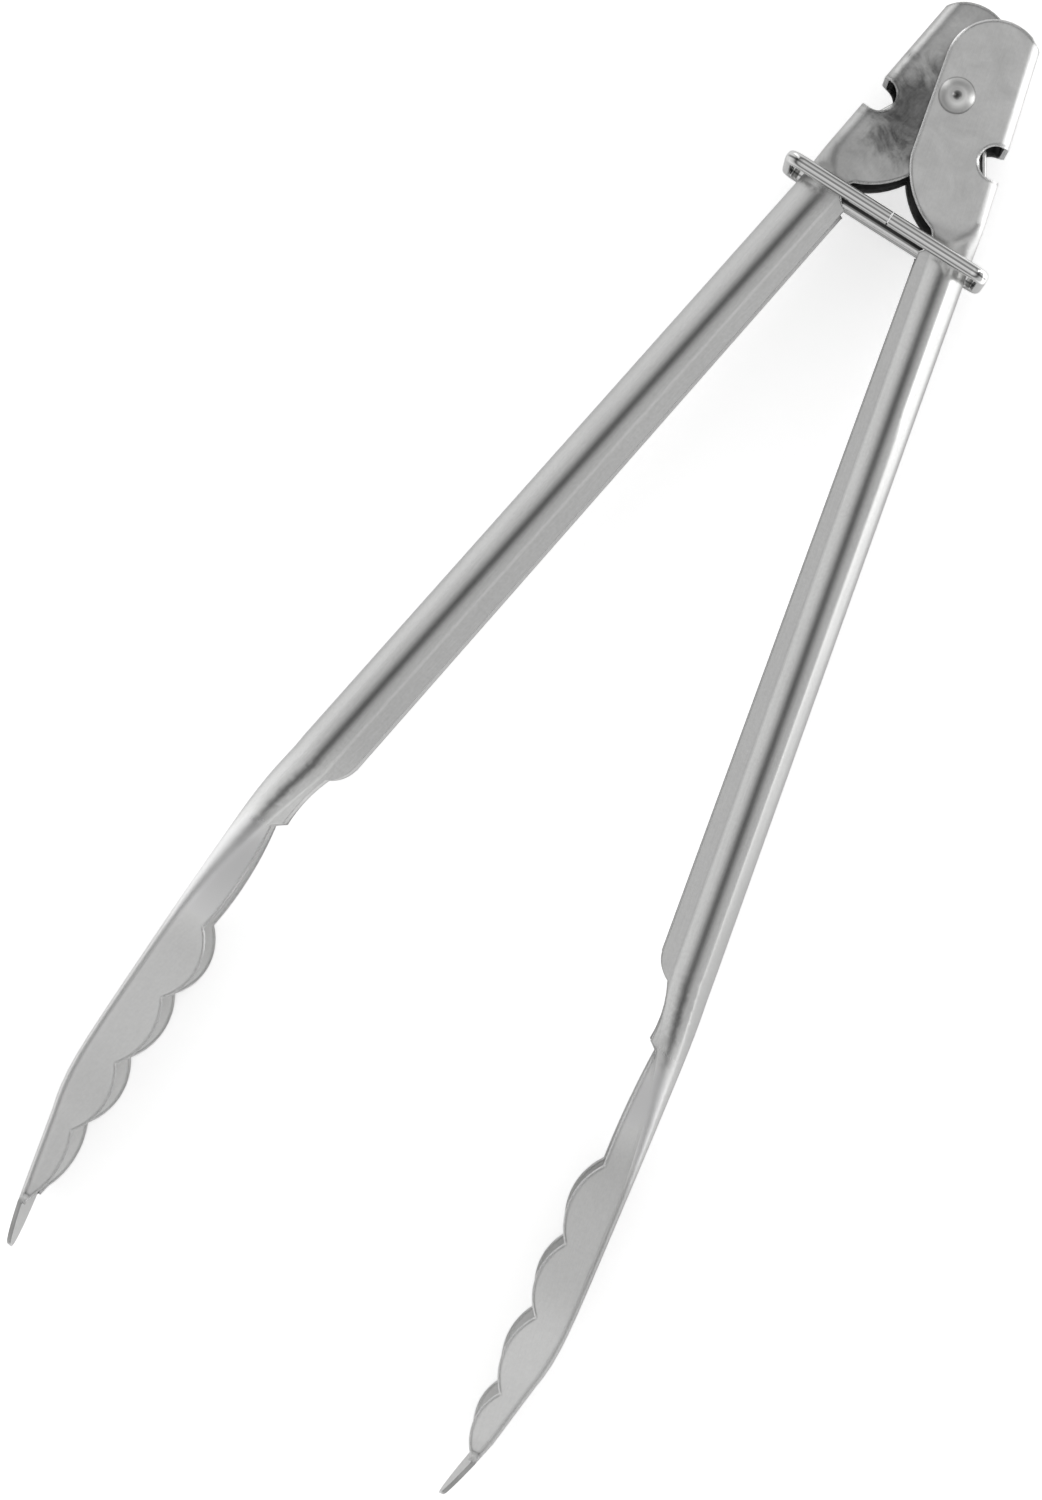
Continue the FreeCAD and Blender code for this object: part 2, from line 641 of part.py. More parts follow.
def main():
    os.makedirs("parts", exist_ok=True)
    doc = FreeCAD.newDocument("kitchen_tongs")
    sheet = new_sheet(doc)
    outer = build_arm(doc, "outer")
    inner = build_arm(doc, "inner")
    rivet = build_rivet(doc)
    spring = build_spring(doc, sheet)
    ring = build_ring(doc)
    place(outer, sheet, sheet.outer_open)
    place(inner, sheet, -sheet.inner_open, flip=True)
    place(rivet, sheet, 0)
    place(spring, sheet, 0)
    place(ring, sheet, -sheet.ring_tilt, shift=-sheet.ring_station)
    doc.recompute()
    check_and_write(doc, [outer, inner, rivet, spring, ring])


main()
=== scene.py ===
# %% [markdown]
# # Spring loaded kitchen tongs
#
# A pair of kitchen tongs is a good first lesson in metal. There is almost no colour in it: what
# we see is the room, bent by each surface. So the shapes come from the construction model, and
# the work here is in the finishes, in one new piece of geometry (the spring, which has to twist),
# and in a plain studio that gives the steel something to mirror.
#
# Every length is in metres. The tongs lie on their side: +Z is up, along the hinge pin, and the
# jaws point along -Y.

import json
import math

import bpy
from mathutils import Matrix, Vector


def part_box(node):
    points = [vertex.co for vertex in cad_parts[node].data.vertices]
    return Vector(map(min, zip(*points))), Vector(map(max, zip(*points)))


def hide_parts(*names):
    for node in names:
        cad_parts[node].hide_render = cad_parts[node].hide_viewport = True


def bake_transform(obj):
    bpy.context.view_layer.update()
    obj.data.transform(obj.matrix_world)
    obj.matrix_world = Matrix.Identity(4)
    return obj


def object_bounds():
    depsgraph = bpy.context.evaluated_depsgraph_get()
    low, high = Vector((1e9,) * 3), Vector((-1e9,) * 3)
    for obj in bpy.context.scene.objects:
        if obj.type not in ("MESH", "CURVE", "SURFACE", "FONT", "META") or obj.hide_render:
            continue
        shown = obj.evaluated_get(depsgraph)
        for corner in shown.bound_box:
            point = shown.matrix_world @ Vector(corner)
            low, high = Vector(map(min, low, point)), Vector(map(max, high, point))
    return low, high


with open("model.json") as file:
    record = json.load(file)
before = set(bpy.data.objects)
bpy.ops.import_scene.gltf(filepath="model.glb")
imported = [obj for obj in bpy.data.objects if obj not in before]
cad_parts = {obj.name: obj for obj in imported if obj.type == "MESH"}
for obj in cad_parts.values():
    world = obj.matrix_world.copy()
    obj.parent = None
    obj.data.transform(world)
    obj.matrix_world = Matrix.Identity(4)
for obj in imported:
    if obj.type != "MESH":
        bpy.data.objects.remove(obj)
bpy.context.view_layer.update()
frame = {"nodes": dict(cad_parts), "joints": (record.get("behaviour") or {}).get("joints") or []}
pieces = frame["nodes"]
print("pieces:", sorted(pieces))


# %% [markdown]
# ## Helpers for wiring up materials
#
# A material in Blender is a small graph: nodes make numbers and colours, and links carry them
# to the shader. `new_material` starts an empty graph with one main shader, `add` makes a node,
# and `join` links something to an input, or just sets the input when it gets a plain value.

# %% Graph helpers
def new_material(name):
    """An empty material with a main shader wired to its output."""
    material = bpy.data.materials.new(name)
    material.use_nodes = True
    tree = material.node_tree
    tree.nodes.clear()
    output = tree.nodes.new("ShaderNodeOutputMaterial")
    shader = tree.nodes.new("ShaderNodeBsdfPrincipled")
    tree.links.new(shader.outputs[0], output.inputs[0])
    return material, tree, shader


def add(tree, kind, settings=None, **inputs):
    """A node of one kind, with settings on the node and plain values on its inputs."""
    node = tree.nodes.new("ShaderNode" + kind)
    for key, value in (settings or {}).items():
        setattr(node, key, value)
    for key, value in inputs.items():
        node.inputs[key.replace("_", " ")].default_value = value
    return node


def join(tree, source, target, socket):
    """Feed an input from a node's first output, from a given output, or with a plain value."""
    source = source.outputs[0] if hasattr(source, "outputs") else source
    if isinstance(source, bpy.types.NodeSocket):
        tree.links.new(source, target.inputs[socket])
    else:
        target.inputs[socket].default_value = source
    return target


def find(material, kind):
    """The first node of one type in a material."""
    return next(node for node in material.node_tree.nodes if node.type == kind)


print("graph helpers ready")

# %% [markdown]
# ## Helpers for sums and masks
#
# Most of the work in a worn metal is in masks: numbers that are 0 on one part of a surface and
# 1 on another. They are made from three questions: where is this spot, which way does it face,
# and how far is it from something? `fade` turns an answer into a mask with a soft border, and
# `product` lays masks over each other.

# %% Sums and masks
def numbers(tree, operation, first, second, clamp=False):
    """A maths node on two inputs, each of them an output, a node or a plain number."""
    node = add(tree, "Math", {"operation": operation, "use_clamp": clamp})
    join(tree, first, node, 0)
    return join(tree, second, node, 1)


def product(tree, *factors):
    """All the factors multiplied together."""
    result = factors[0]
    for factor in factors[1:]:
        result = numbers(tree, "MULTIPLY", result, factor)
    return result


def rest(tree, share):
    """What is left of 1 when a share is taken away."""
    return numbers(tree, "SUBTRACT", 1.0, share)


def size_of(tree, value):
    """A number without its sign."""
    return numbers(tree, "ABSOLUTE", value, 0.0)


def shifted(tree, source, middle, gain):
    """How far a texture is from its middle value, times a gain."""
    return product(tree, numbers(tree, "SUBTRACT", source, middle), gain)


def vectors(tree, operation, first, second):
    """A vector sum; the answer to a distance or a dot product is a number."""
    node = add(tree, "VectorMath", {"operation": operation})
    join(tree, first, node, 0)
    join(tree, second, node, 1)
    return node.outputs["Value" if operation in ("DISTANCE", "DOT_PRODUCT") else "Vector"]


def split(tree, vector):
    """A node with the X, Y and Z of a vector."""
    return join(tree, vector, add(tree, "SeparateXYZ"), "Vector")


def spot(tree):
    """The place on the part, in metres."""
    return add(tree, "TexCoord").outputs["Object"]


def facing(tree):
    """The way the surface faces."""
    return add(tree, "NewGeometry").outputs["Normal"]


def facing_up(tree):
    """How much the surface faces up: 1 straight up, 0 on edge, -1 straight down."""
    return split(tree, facing(tree)).outputs["Z"]


def from_axis(tree, axis):
    """Distance from an upright line."""
    flat = vectors(tree, "MULTIPLY", spot(tree), (1.0, 1.0, 0.0))
    return vectors(tree, "DISTANCE", flat, (axis.x, axis.y, 0.0))


def fade(tree, source, start, end):
    """0 where a number is at its start value, easing to 1 at its end value."""
    node = add(tree, "MapRange", {"interpolation_type": "SMOOTHSTEP"})
    node.inputs["From Min"].default_value = start
    node.inputs["From Max"].default_value = end
    return join(tree, source, node, "Value")


def ramp(tree, source, stops):
    """An eased ramp of greys from a list of places and levels."""
    node = tree.nodes.new("ShaderNodeValToRGB")
    node.color_ramp.interpolation = "EASE"
    points = node.color_ramp.elements
    while len(points) < len(stops):
        points.new(0.5)
    for point, (place, level) in zip(points, stops):
        point.position = place
        point.color = (level, level, level, 1.0)
    return join(tree, source, node, 0)


def mixed(tree, share, first, second):
    """One colour turning into another as the share goes from 0 to 1."""
    node = add(tree, "Mix", {"data_type": "RGBA"})
    join(tree, share, node, 0)
    join(tree, first, node, 6)
    join(tree, second, node, 7)
    return node.outputs[2]


def tint(tree, tone, level, shader):
    """Scale a tone by a level and use it as the colour."""
    tinted = add(tree, "VectorMath", {"operation": "SCALE"})
    join(tree, tone, tinted, 0)
    join(tree, level, tinted, "Scale")
    join(tree, tinted, shader, "Base Color")


def texture(tree, vector, scale, detail, roughness, distortion=0.0):
    """A soft noise with its own scale and raggedness."""
    node = add(tree, "TexNoise", Scale=scale, Detail=detail, Roughness=roughness,
               Distortion=distortion)
    return join(tree, vector, node, "Vector")


print("mask helpers ready")

# %% [markdown]
# ## What all the steel has in common
#
# Rolled or drawn stainless steel is never perfectly even. It has very fine lines along the way
# it was rolled, small flecks, faint cloudy patches where a thumb or a cloth has been, and edges
# that were tumbled until they are round. `steel` builds all of them: stretched noise for the
# lines, fine and soft noise for flecks and clouds, and a rounded-edge normal for the tumbled
# edges. Only numbers change between the sheet, the pin, the wire and the ring.
#
# The lines run along the part, so the texture is turned by the angle at which the part lies and
# then squeezed along its length.

# %% Steel finish
def steel(name, tone, rough, grain=0.02, turn=0.0, edge=0.0005, cloud=0.05, fleck=0.05):
    """Stainless steel: a tone, a roughness, lines along the part, clouds and rounded edges.

    Returns the material and its nodes for tone and roughness, so that a part can add to them.
    """
    material, tree, shader = new_material(name)
    spun = join(tree, spot(tree), add(tree, "Mapping", Rotation=(0.0, 0.0, -turn)), "Vector")
    squeezed = join(tree, spun, add(tree, "Mapping", Scale=(1.0, 0.05, 1.0)), "Vector")
    lines = texture(tree, squeezed, 5200.0, 3.0, 0.65)
    clouds = texture(tree, spot(tree), 75.0, 4.0, 0.55, 0.6)
    flecks = texture(tree, spot(tree), 1500.0, 2.0, 0.7)
    # colour: the tone, a little lighter and darker with lines, flecks and clouds
    level = shifted(tree, lines, 0.5, fleck)
    for change in (shifted(tree, flecks, 0.5, fleck), shifted(tree, clouds, 0.5, cloud), 1.0):
        level = numbers(tree, "ADD", level, change)
    tint(tree, tone, level, shader)
    # roughness: clouds are smears of a duller finish
    dull = numbers(tree, "ADD", shifted(tree, clouds, 0.5, 0.10), shifted(tree, lines, 0.5, 0.05))
    dull = numbers(tree, "ADD", dull, rough, clamp=True)
    join(tree, dull, shader, "Roughness")
    # relief: the lines, over edges that were tumbled round
    relief = add(tree, "Bump", Strength=grain, Distance=0.0002)
    join(tree, lines, relief, "Height")
    join(tree, add(tree, "Bevel", {"samples": 6}, Radius=edge), relief, "Normal")
    join(tree, relief, shader, "Normal")
    shader.inputs["Metallic"].default_value = 1.0
    return material, level, dull


def dress(piece, material):
    """Put one material in every slot of a piece."""
    for slot in piece.material_slots:
        slot.material = material
    print(piece.name, "is now", material.name)


print("steel is ready")

# %% [markdown]
# ## The two arms: masks along them
#
# Each arm is one strip of stainless sheet, pressed into a channel: flat cheeks at the hinge, a
# half-round shaft to hold, and a wide scalloped jaw. The construction model already has this
# shape, so the arms keep their geometry and only get finishes, turned to run along each arm.
#
# The shaft comes out of the press quite smooth. The cheeks and the jaw are worked harder, so
# they are duller. Both arms lie nearly along Y, so where a finish starts and stops is written
# as a pair of Y values, in metres, that a mask fades between.

# %% Where along the arm
hinge = next(j for j in frame["joints"] if j["name"] == "arm_hinge")
PIVOT = Vector(hinge["pos_m"])
OUTER_LEAN = math.radians(10.2)
INNER_LEAN = math.radians(-11.8)
ALONG = {
    "cheeks": (0.099, 0.111),
    "throat": (-0.030, -0.052),
    "jaw": (-0.046, -0.064),
    "neck_start": (-0.050, -0.062),
    "neck_end": (-0.084, -0.072),
    "jaw_end": (-0.100, -0.116),
    "lip": (-0.1395, -0.1415),
}


def stretch(tree, name):
    """1 beyond one of the named places along the arms."""
    return fade(tree, split(tree, spot(tree)).outputs["Y"], *ALONG[name])


def outward(lean, side):
    """Unit vector that points out of an arm's back, for an arm that leans by some angle."""
    return Vector((side * math.cos(lean), math.sin(abs(lean)), 0.0))


def depth_from_pivot(tree, way):
    """How far a place is from the pivot line, measured out towards an arm's back."""
    return numbers(tree, "SUBTRACT", vectors(tree, "DOT_PRODUCT", spot(tree), way), PIVOT.dot(way))


print("pivot", [round(v, 4) for v in PIVOT], "outer arm leans", round(math.degrees(OUTER_LEAN), 1))

# %% [markdown]
# ## The two arms: masks by the way a face looks
#
# The rest of the masks follow the bends and edges. Inside the hinge, the faces that look up from
# the lower cheek get painted shade, for the shade between the cheeks. The bends of the cheeks and
# the jaw get a painted highlight, a little brighter than the flats. The cut edges were tumbled, and
# an edge can be found by comparing two normals: the real one, and one that Blender rounds off.

# %% Bends and edges
def lip_rim(tree):
    """1 on the thin cut rim of the lip, 0 on its two broad faces."""
    level = size_of(tree, facing_up(tree))
    return product(tree, stretch(tree, "lip"), fade(tree, level, 0.15, 0.40))


def hinge_inside_shade(tree, cheeks):
    """Painted shade mask: 1 on faces inside the hinge, below the middle, but facing up."""
    height = split(tree, spot(tree)).outputs["Z"]
    below = fade(tree, height, PIVOT.z - 0.002, PIVOT.z - 0.006)
    upward = fade(tree, facing_up(tree), 0.2, 0.6)
    return product(tree, below, upward, cheeks)


def bent_over(tree):
    """0 on flat faces that look straight up, 1 where the sheet bends down."""
    return fade(tree, facing_up(tree), 0.99, 0.92)


def steep_bend(tree):
    """1 where a bend leans 20 to 40 degrees, the part that mirrors the tent's dark gap."""
    upward = facing_up(tree)
    return product(tree, fade(tree, upward, 0.985, 0.95), fade(tree, upward, 0.60, 0.78))


def near_edge(tree, rounded):
    """0 away from sharp edges and 0.3 on them, where the rounded normal leaves the real one."""
    return rest(tree, vectors(tree, "DOT_PRODUCT", rounded, facing(tree)))


print("masks for bends and edges ready")

# %% [markdown]
# ## The two arms: painted shade and clouds
#
# Beside the rivet, where the inner cheek lies along the edge of the outer cheek, the inner cheek
# gets a dark patch of painted shade. The rest of the cheek is cloudy from heat and handling. Both
# are soft noise. The patch is a plain round blob whose distance is disturbed by noise, which makes
# its border ragged without any drawing.

# %% Painted shade and clouds
SHADE_DOWN = 0.007
SHADE_SIDE = 0.003


def rivet_shade_patch(tree):
    """Painted shade: the dark patch by the rivet on the inner cheek, a blob with a ragged edge."""
    lean = -INNER_LEAN
    side = -SHADE_DOWN * math.sin(lean) - SHADE_SIDE * math.cos(lean)
    down = -SHADE_DOWN * math.cos(lean) + SHADE_SIDE * math.sin(lean)
    away = from_axis(tree, PIVOT + Vector((side, down, 0.0)))
    ragged = texture(tree, spot(tree), 140.0, 5.0, 0.6, 1.5)
    distance = numbers(tree, "ADD", away, shifted(tree, ragged, 0.5, 0.02))
    return fade(tree, distance, 0.014, 0.003)


def cheek_clouds(tree):
    """Soft uneven patches on worked sheet, about 0 on average."""
    return shifted(tree, texture(tree, spot(tree), 110.0, 5.0, 0.6, 1.2), 0.5, 1.0)


print("stains ready")

# %% [markdown]
# ## The two arms: the finish
#
# Now the masks are put together. The tone starts from the rolled steel, and every mask adds or
# takes a little: painted highlight on the bends, painted shade on the cheeks and beside the rivet.
# Then the edges get a painted highlight, with a painted dark line just inside them. The faces
# inside the hinge and the wings of the shaft get painted shade, and the lip's rim is darkened, so
# that each keeps only a share of what is left. The two arms differ only in the amounts, so one
# function makes both finishes.

# %% Arms
SHEET_TONE = (0.625, 0.625, 0.62)
# painted light at the edges: a dark line just inside and a bright line on the edge itself
EDGE_HIGHLIGHT_AND_SHADE = [(0.0, 0.60), (0.008, 0.58), (0.025, 0.24), (0.07, 0.26), (0.12, 1.0)]
EDGE_PAINT_GAIN = 1.667
WORKED_ROUGH = 0.20
EDGE_SMOOTH = 0.22
# painted highlight on the bends: how much tone each bend gains
CHEEK_BEND_HIGHLIGHT = 0.12
NECK_BEND_HIGHLIGHT = 0.40
JAW_BEND_HIGHLIGHT = 0.25
# painted shade inside the hinge: the share of tone it takes away
HINGE_SHADE_LOSS = 0.85
LIP_LOSS = 0.50


def arm_edges(material, worked):
    """Widen the rounding on worked sheet and return a mask that follows its edges."""
    tree = material.node_tree
    rounded = find(material, "BEVEL")
    radius = numbers(tree, "ADD", product(tree, worked, 0.0010), 0.0002)
    join(tree, radius, rounded, "Radius")
    return product(tree, near_edge(tree, rounded), worked, rest(tree, lip_rim(tree)))


def marks(tree, cheeks, jaw, look):
    """Every mark on the sheet, painted highlight and painted shade among them, as a mask and how
    much tone it adds.
    """
    neck = product(tree, stretch(tree, "neck_start"), stretch(tree, "neck_end"))
    bend = steep_bend(tree)
    return [
        # painted shade: the cheeks are made darker, most on the inner arm
        (cheeks, -look["cheek_shade"]),
        (product(tree, cheek_clouds(tree), cheeks), look["clouds"]),
        # painted shade: the dark patch beside the rivet on the inner cheek
        (product(tree, rivet_shade_patch(tree), cheeks), -look["rivet_shade"]),
        # painted highlight: the cheek bends are made brighter
        (product(tree, bent_over(tree), cheeks), CHEEK_BEND_HIGHLIGHT),
        (stretch(tree, "throat"), look["jaw"]),
        (neck, look["neck"]),
        # painted highlight: the neck and jaw bends are made brighter over the dark line they mirror
        (product(tree, bend, neck), NECK_BEND_HIGHLIGHT),
        (product(tree, bend, jaw), JAW_BEND_HIGHLIGHT),
        (stretch(tree, "jaw_end"), look["jaw_end"]),
    ]


def shaded(tree, cheeks, worked, look):
    """Masks of the parts made dark, with the share of the tone that each one loses: painted shade
    inside the hinge and on the shaft's wings, and the lip's darker rim.
    """
    deep = fade(tree, depth_from_pivot(tree, look["way"]), look["wing"], look["wing"] - 0.0005)
    wing = product(tree, deep, rest(tree, worked))
    return [(hinge_inside_shade(tree, cheeks), HINGE_SHADE_LOSS), (lip_rim(tree), LIP_LOSS),
            (wing, look["wing_shade"])]


def arm_finish(name, turn, look):
    """Sheet finish: smooth shaft, duller cloudy cheeks and jaw, painted shade and highlights, and
    tumbled edges with a painted highlight.
    """
    material, shade, dull = steel(name, SHEET_TONE, 0.17, turn=turn, cloud=0.12, fleck=0.17)
    tree = material.node_tree
    shader = find(material, "BSDF_PRINCIPLED")
    cheeks = stretch(tree, "cheeks")
    jaw = stretch(tree, "jaw")
    worked = numbers(tree, "MAXIMUM", cheeks, jaw)
    edge = arm_edges(material, worked)
    # roughness: dull where worked, smooth again on the tumbled edges
    crisp = product(tree, fade(tree, edge, 0.005, 0.05), EDGE_SMOOTH)
    rough = numbers(tree, "ADD", dull, product(tree, worked, WORKED_ROUGH))
    join(tree, numbers(tree, "SUBTRACT", rough, crisp, clamp=True), shader, "Roughness")
    # tone: gains and losses, then the painted highlight and dark line along the edges, then the
    # painted shade on what is made dark
    for mask, amount in marks(tree, cheeks, jaw, look):
        shade = numbers(tree, "ADD", shade, product(tree, mask, amount))
    shade = product(tree, shade, product(tree, ramp(tree, edge, EDGE_HIGHLIGHT_AND_SHADE), EDGE_PAINT_GAIN))
    for mask, loss in shaded(tree, cheeks, worked, look):
        shade = product(tree, shade, rest(tree, product(tree, mask, loss)))
    tint(tree, SHEET_TONE, shade, shader)
    return material


# cheek_shade, rivet_shade and wing_shade are amounts of painted shade
OUTER_LOOK = {"way": outward(OUTER_LEAN, 1), "wing": 0.0056, "wing_shade": 0.22, "cheek_shade": 0.04,
              "clouds": 0.45, "rivet_shade": 0.0, "jaw": 0.02, "neck": 0.06, "jaw_end": 0.20}
INNER_LOOK = {"way": outward(INNER_LEAN, -1), "wing": 0.0042, "wing_shade": 0.03, "cheek_shade": 0.22,
              "clouds": 0.62, "rivet_shade": 0.56, "jaw": 0.28, "neck": 0.38, "jaw_end": -0.03}
dress(pieces["outer_arm"], arm_finish("satin_sheet_outer", OUTER_LEAN, OUTER_LOOK))
dress(pieces["inner_arm"], arm_finish("satin_sheet_inner", INNER_LEAN, INNER_LOOK))

# %% [markdown]
# ## The rivet
#
# A solid rivet goes through all four cheeks. It was tumbled bright before it was set, and the
# setting punch left a small dimple in each head. The shape is in the construction model. The
# dimple's dark centre and the thin dark rim where the head meets the cheek are painted shade, one
# ramp of tone that depends on the distance from the pin's axis.

# %% Rivet
RIVET_REACH = 0.004
RIVET_PAINTED_SHADE = [(0.0, 0.12), (0.13, 0.25), (0.28, 0.75), (0.45, 1.0), (0.80, 1.0), (0.89, 0.5)]


def rivet_finish():
    """Bright steel with painted shade in the dimple and at the rim."""
    tone = (0.80, 0.80, 0.79)
    material, level, _ = steel("bright_rivet", tone, 0.36, grain=0.01, edge=0.0003)
    tree = material.node_tree
    away = product(tree, from_axis(tree, PIVOT), 1.0 / RIVET_REACH)
    shade = product(tree, level, ramp(tree, away, RIVET_PAINTED_SHADE))
    tint(tree, tone, shade, find(material, "BSDF_PRINCIPLED"))
    return material


dress(pieces["pivot_rivet"], rivet_finish())

# %% [markdown]
# ## The lock ring
#
# The ring is a strip of steel bent into a rounded rectangle round both arms, its two ends meeting
# in a butt seam. It is the one polished piece, so it is brighter and mirrors more sharply than the
# sheet. The strip is crowned, and the dark line that it mirrors along its middle and at each edge
# is a painted reflection, drawn in as bands. Only the outside could be polished: once the strip is
# bent, a wheel can't reach the inside, so the lower bar's upper face, between the arms, is duller.
# Its darkness there is painted shade.
#
# The ring lies at a small angle, so its own directions, along and across the strip, are worked
# out from that angle. A spot's reach along each of them is a dot product.

# %% Lock ring
RING_TILT = math.radians(-2.6)
ALONG_RING = Vector((math.cos(RING_TILT), math.sin(RING_TILT), 0.0))
ACROSS_RING = Vector((-math.sin(RING_TILT), math.cos(RING_TILT), 0.0))
STRIP_REACH = 1 / 600
RING_INSIDE_SHADE = 0.9
INSIDE_ROUGH = 0.35
# painted reflection: dark lines along the middle and the edges of the strip
STRIP_PAINTED_LINES = [(0.06, 0.35), (0.17, 1.0), (0.68, 1.0), (0.80, 0.42)]


def ring_inside(tree, arm, upward):
    """1 on the lower bar's upper face, between the arms, over one half of its width."""
    span = size_of(tree, vectors(tree, "DOT_PRODUCT", arm, ALONG_RING))
    across = vectors(tree, "DOT_PRODUCT", arm, ACROSS_RING)
    return product(tree, fade(tree, upward, 0.45, 0.75),
                   fade(tree, split(tree, arm).outputs["Z"], 0.001, -0.001),
                   fade(tree, across, 0.0, 0.0003), fade(tree, span, 0.015, 0.012))


def painted_strip_lines(tree, arm, upward):
    """Painted reflection: the crowned strip's dark lines on its flat sides, and 1 round the ends.
    """
    across = size_of(tree, vectors(tree, "DOT_PRODUCT", arm, ACROSS_RING))
    bands = ramp(tree, product(tree, across, 1 / STRIP_REACH), STRIP_PAINTED_LINES)
    flat = fade(tree, size_of(tree, upward), 0.30, 0.70)
    return numbers(tree, "ADD", product(tree, bands, flat), rest(tree, flat))


def ring_finish(middle):
    """Polished steel with painted reflection lines outside, and painted shade with a duller finish
    on the hidden face of the lower bar.
    """
    tone = (0.74, 0.74, 0.735)
    material, level, dull = steel("polished_ring", tone, 0.07, grain=0.01, edge=0.0002,
                                  cloud=0.03, fleck=0.03)
    tree = material.node_tree
    shader = find(material, "BSDF_PRINCIPLED")
    arm = vectors(tree, "SUBTRACT", spot(tree), middle)
    upward = facing_up(tree)
    inside = ring_inside(tree, arm, upward)
    # painted shade on the lower bar's hidden face
    kept = rest(tree, product(tree, inside, RING_INSIDE_SHADE))
    tint(tree, tone, product(tree, level, painted_strip_lines(tree, arm, upward), kept), shader)
    join(tree, numbers(tree, "ADD", dull, product(tree, inside, INSIDE_ROUGH)), shader, "Roughness")
    return material


ring_low, ring_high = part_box("lock_ring")
ring_middle = (Vector(ring_low) + Vector(ring_high)) / 2
dress(pieces["lock_ring"], ring_finish(ring_middle))
print("ring middle", [round(v, 4) for v in ring_middle])

# %% [markdown]
# ## The torsion spring
#
# A close coil of round wire sits on the rivet, and its two straight legs press on the backs of the
# arms. When the arms close, the lower leg goes with one arm and the upper leg with the other, and
# the coil between them winds up. A solid carried by one arm would tear out of the other, so the
# spring is made again here as one mesh.
#
# First comes its centre line. The coil is a helix, and each leg is a straight run that leaves the
# helix along its own direction, so no kink shows where they meet.

# %% Spring path
COIL_RADIUS = 0.0052
COIL_PITCH = 0.00145
WHOLE_TURNS = 7
LEG_LONG = 0.0174
LEG_TURN = math.radians(109.8)
LEG_STEPS = 24
START_TURN = OUTER_LEAN - math.pi / 2 + LEG_TURN
FINISH_TURN = 3 * math.pi / 2 + INNER_LEAN - LEG_TURN + WHOLE_TURNS * math.tau


def coil_point(turn):
    """A point of the coil's centre line, at a turn measured in radians."""
    height = COIL_PITCH * ((FINISH_TURN - START_TURN) / 2 - (turn - START_TURN)) / math.tau
    return PIVOT + Vector((COIL_RADIUS * math.cos(turn), COIL_RADIUS * math.sin(turn), height))


def coil_way(turn):
    """The direction of the coil's centre line."""
    step = 1e-4
    return (coil_point(turn + step) - coil_point(turn - step)).normalized()


def spring_path(steps_per_turn=64):
    """Centre line of the whole spring: upper leg, coil, lower leg."""
    turned = FINISH_TURN - START_TURN
    steps = int(steps_per_turn * turned / math.tau)
    coil = [coil_point(START_TURN + turned * i / steps) for i in range(steps + 1)]
    step = LEG_LONG / LEG_STEPS
    upper = [coil[0] - coil_way(START_TURN) * step * (LEG_STEPS - i) for i in range(LEG_STEPS)]
    lower = [coil[-1] + coil_way(FINISH_TURN) * step * (i + 1) for i in range(LEG_STEPS)]
    return upper + coil + lower


path = spring_path()

# %% [markdown]
# ## The torsion spring: wire
#
# A curve with a round bevel would give the wire too, but here it is a mesh of our own. So the wire
# is swept by hand: walk along the path, carry a small circle with it, and join circle to circle.
# Each end closes in a low dome, like a wire end that has been dressed.
#

# %% Sweep the wire
WIRE_RADIUS = 0.0007
SIDES = 16
DOME_TALL = WIRE_RADIUS / 2


def wire_circles(points):
    """A circle of points round each point of a path, carried along without spinning."""
    circles = []
    normal = Vector((0, 0, 1))
    for place, point in enumerate(points):
        ahead = points[min(place + 1, len(points) - 1)] - points[max(place - 1, 0)]
        ahead.normalize()
        normal = (normal - ahead * normal.dot(ahead)).normalized()
        across = ahead.cross(normal)
        circles.append([point + (normal * math.cos(a) + across * math.sin(a)) * WIRE_RADIUS
                        for a in (math.tau * k / SIDES for k in range(SIDES))])
    return circles


def dome(circle, centre, way):
    """Smaller and smaller circles that close a wire's end in a low dome."""
    caps = []
    for angle in (math.radians(30), math.radians(60)):
        rise = way * DOME_TALL * math.sin(angle)
        caps.append([centre + (point - centre) * math.cos(angle) + rise for point in circle])
    return caps


def wire_faces(count):
    """Faces that join each circle to the next, and a fan of triangles at each end."""
    tip = count * SIDES
    last = (count - 1) * SIDES
    pairs = [(k, (k + 1) % SIDES) for k in range(SIDES)]
    faces = []
    for first in range(0, last, SIDES):
        for k, after in pairs:
            faces.append((first + k, first + after, first + after + SIDES, first + k + SIDES))
    for k, after in pairs:
        faces.append((tip, after, k))
        faces.append((tip + 1, last + k, last + after))
    return faces


def sweep(points, name):
    """A round wire along a path, with domed ends."""
    first_way = (points[0] - points[1]).normalized()
    last_way = (points[-1] - points[-2]).normalized()
    circles = wire_circles(points)
    circles = (dome(circles[0], points[0], first_way)[::-1] + circles
               + dome(circles[-1], points[-1], last_way))
    vertices = [point for circle in circles for point in circle]
    vertices += [points[0] + first_way * DOME_TALL, points[-1] + last_way * DOME_TALL]
    mesh = bpy.data.meshes.new(name)
    mesh.from_pydata([tuple(v) for v in vertices], [], wire_faces(len(circles)))
    mesh.shade_smooth()
    mesh.update()
    piece = bpy.data.objects.new(name, mesh)
    bpy.context.scene.collection.objects.link(piece)
    return piece


spring = sweep(path, "spring_wire_coil")
wire_finish, _, _ = steel("drawn_wire", (0.52, 0.52, 0.515), 0.22, grain=0.03, edge=0.0001)
spring.data.materials.append(wire_finish)
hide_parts("torsion_spring")
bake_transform(spring)
print("spring:", len(spring.data.polygons), "faces")

